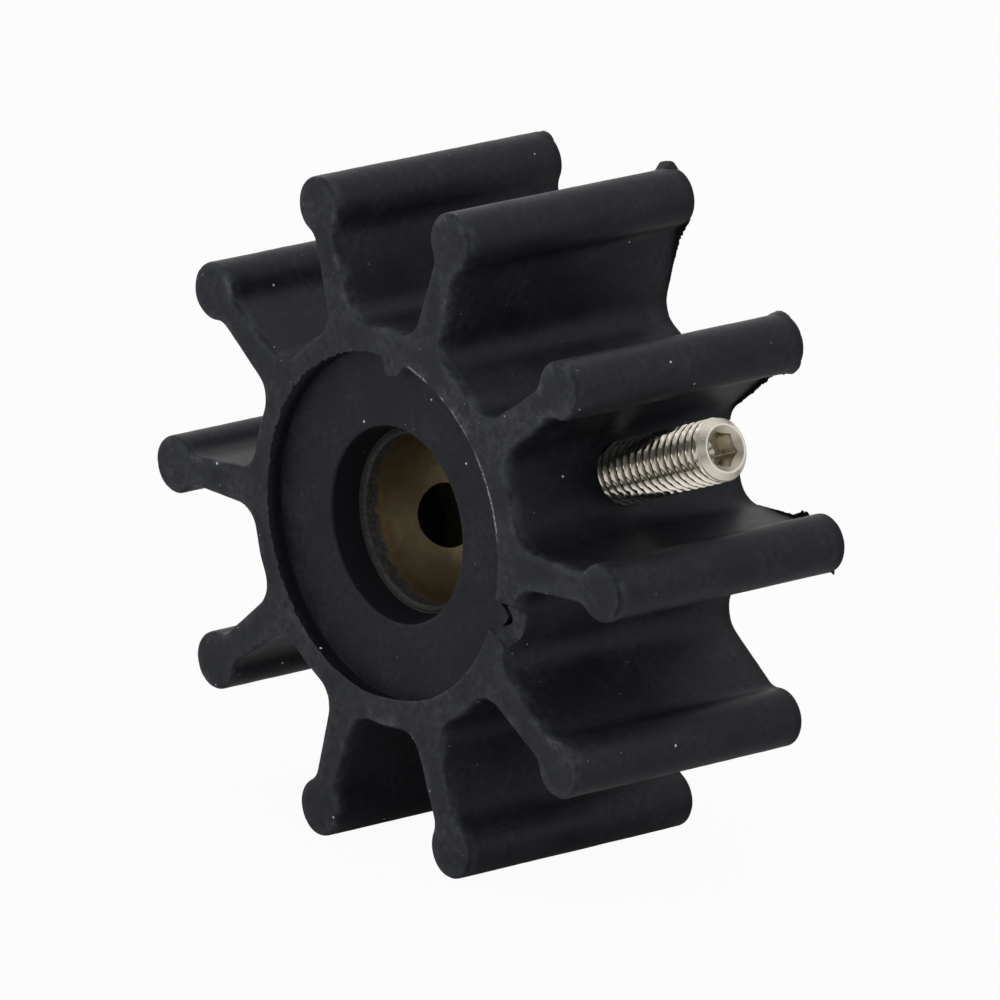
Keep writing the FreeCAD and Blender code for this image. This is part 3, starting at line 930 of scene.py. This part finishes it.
def bush_profile():
    """Radius and place along the axis, from the bush's outside over both ends of its bore."""
    bore_start = -BUSH_END + BORE_CHAMFER
    profile = [(BUSH_RADIUS, -BUSH_END)]
    profile += [(radius, -BUSH_END + depth) for radius, depth in BUSH_SCORE]
    profile += [(BORE_RADIUS + BORE_CHAMFER, -BUSH_END), (BORE_RADIUS, bore_start)]
    for step in range(1, BORE_STATIONS):
        along = bore_start + step * (2 * BUSH_END - 2 * BORE_CHAMFER) / BORE_STATIONS
        profile.append((BORE_RADIUS, along))
    profile += [(BORE_RADIUS, BUSH_END - BORE_CHAMFER)]
    profile += [(BORE_RADIUS + BORE_CHAMFER, BUSH_END), (BUSH_RADIUS, BUSH_END)]
    return profile


def bore_stains(spot, from_end):
    """How much rubber is smeared on a point of the bore, and how orange its brass is."""
    limit = SMEAR_WIDTH + 0.35 * ripple(spot, 1.1, seed=61.0) + 0.25 * ripple(spot, 0.4, seed=62.0)
    residue = 1 - smooth_step(limit - 0.3, limit + 0.25, from_end)
    residue *= smooth_step(0.0, SMEAR_START, from_end)
    residue *= 0.7 + 0.3 * smooth_step(-0.55, -0.2, ripple(spot, 0.5, seed=63.0))
    bloom = 0.6 * smooth_step(limit - 0.2, limit + 0.1, from_end)
    bloom *= 1 - smooth_step(limit + 0.5, limit + 1.4, from_end)
    return residue, bloom


def make_bush(material):
    """Turned bush with a chamfered bore, a smear of rubber in it and one hole across."""
    draft = Draft()
    rows = []
    for radius, y in bush_profile():
        row = []
        for index in range(BUSH_STEPS):
            angle = 360 * index / BUSH_STEPS
            reach = radius
            stains = {"residue": 0.0, "bloom": 0.0, "film": 0.0}
            if radius > BORE_RADIUS and y < BORE_CHAMFER - BUSH_END:
                stains = {"residue": 1.0, "bloom": 0.0, "film": 0.6}
            if radius == BORE_RADIUS:
                residue, bloom = bore_stains(on_circle(radius, angle, y), y + BUSH_END)
                stains = {"residue": residue, "bloom": bloom, "film": 0.0}
                reach -= SMEAR_THICKNESS * residue
            row.append(draft.add(on_circle(reach, angle, y), **stains))
        rows.append(row)
    for first, second in zip(rows, rows[1:]):
        draft.bridge(first, second)
    draft.bridge(rows[-1], rows[0])
    drill = rod_cutter(CROSS_HOLE, -BUSH_RADIUS - 2.0, BUSH_RADIUS + 2.0)
    mesh = cut(draft.mesh("bush"), "bush", [drill])
    bush = place_piece("bush", mesh, material, sharp_angle=28.0)
    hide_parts("hub_bush")


# Set screw

def thread_radius(along, turn):
    """Radius of the threaded shank, with flat crests, rounded roots and chamfered ends."""
    phase = (along / THREAD_PITCH - turn) % 1.0
    from_crest = min(phase, 1 - phase)
    crest_half, root_half = 0.10, 0.42
    fall = min(max((from_crest - crest_half) / (root_half - crest_half), 0.0), 1.0)
    end_gap = min(along - SCREW_START, SCREW_END - along)
    fall *= smooth_step(*THREAD_RUNOUT, end_gap)
    radius = SCREW_RADIUS - THREAD_DEPTH * fall
    return min(radius, SCREW_RADIUS - SCREW_CHAMFER + end_gap), fall


def hex_radius(angle):
    """Distance from the axis to the wall of the hexagon socket at an angle in degrees."""
    from_flat = (angle - SOCKET_TURN) % 60 - 30
    return SOCKET_FLATS / 2 / math.cos(math.radians(from_flat))


def screw_spot(angle, radius, along):
    """Point beside the screw's axis, at an angle in degrees from the in-plane up towards +Y."""
    across, up, axis = screw_frame()
    turn = math.radians(angle)
    outward = up * math.cos(turn) + across * math.sin(turn)
    return axis * along + outward * radius


def make_screw(material):
    """Threaded screw with turned ends and a hexagon socket in the outer one."""
    draft = Draft()
    angles = [360 * index / SCREW_STEPS for index in range(SCREW_STEPS)]

    def ring(along, radius_at, **values):
        spots = [screw_spot(angle, radius_at(angle), along) for angle in angles]
        return [draft.add(spot, **values) for spot in spots]

    rows = []
    length = SCREW_END - SCREW_START
    stations = int(length / THREAD_PITCH * PITCH_STATIONS)
    for step in range(stations + 1):
        along = SCREW_START + length * step / stations
        turned = 1 - smooth_step(0.6, 1.0, SCREW_END - along)
        row = []
        for angle in angles:
            radius, fall = thread_radius(along, -angle / 360)
            # Painted shade in the thread's roots
            groove = smooth_step(0.25, 0.85, fall)
            row.append(draft.add(screw_spot(angle, radius, along), groove=groove, turned=turned))
        rows.append(row)
    rows.append(ring(SCREW_END, lambda angle: SOCKET_MOUTH + 0.06, turned=1.0))
    # Painted shade in the socket's mouth, walls and hollow
    rows.append(ring(SCREW_END, lambda angle: SOCKET_MOUTH, groove=0.3, turned=1.0))
    countersink = []
    for angle in angles:
        wall = hex_radius(angle)
        spot = screw_spot(angle, wall, SCREW_END - (SOCKET_MOUTH - wall))
        countersink.append(draft.add(spot, groove=0.4, turned=1.0))
    rows.append(countersink)
    bottom = SCREW_END - SOCKET_DEPTH
    rows.append(ring(SCREW_END - SOCKET_SHOULDER, hex_radius, groove=0.3, turned=0.4))
    rows.append(ring(bottom, hex_radius, groove=0.3, turned=0.4))
    # The drill's hollow at the socket's bottom
    rows.append(ring(bottom, lambda angle: 1.3, groove=0.2, turned=0.4))
    rows.append(ring(bottom - 0.35, lambda angle: 0.7, groove=0.1, turned=0.4))
    for first, second in zip(rows, rows[1:]):
        draft.bridge(first, second)
    draft.faces.append(tuple(rows[-1]))
    draft.faces.append(tuple(reversed(rows[0])))
    mesh = draft.mesh("threaded_screw")
    screw = place_piece("threaded_screw", mesh, material, sharp_angle=30.0)
    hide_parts("set_screw")


# Surroundings

def make_floor():
    """White floor that keeps a faint shadow; reflections see it bright near one place only."""
    half = FLOOR_HALF
    corners = [(-half, -half), (half, -half), (half, half), (-half, half)]
    low = cad_box[0][2]
    mesh = bpy.data.meshes.new("floor")
    mesh.from_pydata([(x, y, low) for x, y in corners], [], [(0, 1, 2, 3)])
    material = bpy.data.materials.new("floor_white")
    material.use_nodes = True
    tree = material.node_tree
    tree.nodes.clear()
    output = tree.nodes.new("ShaderNodeOutputMaterial")
    paint = tree.nodes.new("ShaderNodeBsdfDiffuse")
    paint.inputs["Color"].default_value = (FLOOR_GREY, FLOOR_GREY, FLOOR_GREY, 1.0)
    glow = tree.nodes.new("ShaderNodeEmission")
    glow.inputs["Color"].default_value = (1.0, 1.0, 1.0, 1.0)
    path = tree.nodes.new("ShaderNodeLightPath")
    pool = tree.nodes.new("ShaderNodeVectorMath")
    pool.operation = "DISTANCE"
    pool.inputs[1].default_value = (*POOL_PLACE, low)
    coordinates = tree.nodes.new("ShaderNodeTexCoord").outputs["Object"]
    tree.links.new(coordinates, pool.inputs[0])
    fade = ramp(tree, pool.outputs["Value"], 0.06, 0.12, 1.0, 0.05)
    mirrored = calculate(tree, "MULTIPLY", path.outputs["Is Glossy Ray"], fade)
    seen = calculate(tree, "ADD", path.outputs["Is Camera Ray"], mirrored)
    seen = calculate(tree, "ADD", seen, path.outputs["Is Transmission Ray"])
    share = calculate(tree, "MULTIPLY", seen, FLOOR_GLOW)
    mixed = tree.nodes.new("ShaderNodeMixShader")
    tree.links.new(share, mixed.inputs["Fac"])
    tree.links.new(paint.outputs["BSDF"], mixed.inputs[1])
    tree.links.new(glow.outputs["Emission"], mixed.inputs[2])
    tree.links.new(mixed.outputs["Shader"], output.inputs["Surface"])
    mesh.materials.append(material)
    floor = bpy.data.objects.new("floor", mesh)
    bpy.context.scene.collection.objects.link(floor)
    floor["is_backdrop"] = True


def light_world():
    """Studio surroundings: white to the camera, bands of grey in reflections, even as light."""
    world = bpy.data.worlds.new("studio")
    bpy.context.scene.world = world
    world.use_nodes = True
    tree = world.node_tree
    background = tree.nodes["Background"]
    background.inputs["Color"].default_value = (1.0, 1.0, 1.0, 1.0)
    path = tree.nodes.new("ShaderNodeLightPath")
    coordinates = tree.nodes.new("ShaderNodeTexCoord").outputs["Generated"]
    split = tree.nodes.new("ShaderNodeSeparateXYZ")
    tree.links.new(coordinates, split.inputs["Vector"])
    bands = tree.nodes.new("ShaderNodeValToRGB")
    tree.links.new(split.outputs["Z"], bands.inputs["Fac"])
    for element, (height, grey) in zip(bands.color_ramp.elements, ROOM_ENDS):
        element.position = height
        element.color = (grey, grey, grey, 1.0)
    for height, grey in ROOM_BANDS:
        element = bands.color_ramp.elements.new(height)
        element.color = (grey, grey, grey, 1.0)
    behind = ramp(tree, split.outputs["Y"], -0.08, 0.15)
    left = ramp(tree, split.outputs["X"], 0.15, -0.15, 0.0, 0.8)
    high = ramp(tree, split.outputs["Z"], 0.35, 0.80, 1.0, 0.86)
    back_wall = calculate(tree, "MULTIPLY", behind, high)
    room = calculate(tree, "MAXIMUM", bands.outputs["Color"], back_wall)
    room = calculate(tree, "MAXIMUM", room, left)
    mirrored = calculate(tree, "MULTIPLY", path.outputs["Is Glossy Ray"], room)
    seen = calculate(tree, "ADD", path.outputs["Is Camera Ray"], mirrored)
    seen = calculate(tree, "ADD", seen, path.outputs["Is Transmission Ray"])
    strength = tree.nodes.new("ShaderNodeMix")
    tree.links.new(path.outputs["Is Diffuse Ray"], strength.inputs["Factor"])
    tree.links.new(seen, strength.inputs["A"])
    strength.inputs["B"].default_value = ROOM_LIGHT
    tree.links.new(strength.outputs["Result"], background.inputs["Strength"])


def add_softbox(name, azimuth, elevation, distance, size, power):
    """Square area light that looks at the impeller."""
    lamp = bpy.data.lights.new(name, "AREA")
    lamp.size = size
    lamp.energy = power
    holder = bpy.data.objects.new(name, lamp)
    toward = heading(azimuth, elevation)
    holder.location = toward * distance
    holder.rotation_euler = toward.to_track_quat("Z", "Y").to_euler()
    bpy.context.scene.collection.objects.link(holder)


def add_camera():
    """Camera on the photograph's viewing line, 49 degrees round from the front."""
    toward = heading(VIEW_AZIMUTH - 90, VIEW_ELEVATION)
    right = Vector((0, 0, 1)).cross(toward).normalized()
    up = toward.cross(right)
    camera = bpy.data.cameras.new("camera")
    camera.lens = LENS
    camera.sensor_width = SENSOR
    camera.clip_end = VIEW_REACH
    holder = bpy.data.objects.new("camera", camera)
    spot = (right * VIEW_RIGHT + up * VIEW_UP + toward * VIEW_DISTANCE) * MM
    turn_matrix = Matrix((right, up, toward)).transposed().to_4x4()
    holder.matrix_world = Matrix.Translation(spot) @ turn_matrix
    bpy.context.scene.collection.objects.link(holder)
    bpy.context.scene.camera = holder


rubber = make_rubber()
make_rotor(rubber)
for fin, (blade, blade_side, kind, heights) in FLASH_FINS.items():
    flash_fin(fin, rubber, blade, blade_side, kind, heights)
make_bush(make_brass())
make_screw(make_steel())
make_floor()
light_world()
add_softbox("top_softbox", azimuth=-30, elevation=75, distance=0.9, size=0.7, power=0.6)
add_softbox("front_softbox", azimuth=-110, elevation=25, distance=0.9, size=0.7, power=0.6)
add_camera()
bpy.context.scene.view_settings.view_transform = "Standard"

visual_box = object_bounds()
boxes = [[list(corner) for corner in box] for box in (cad_box, visual_box)]
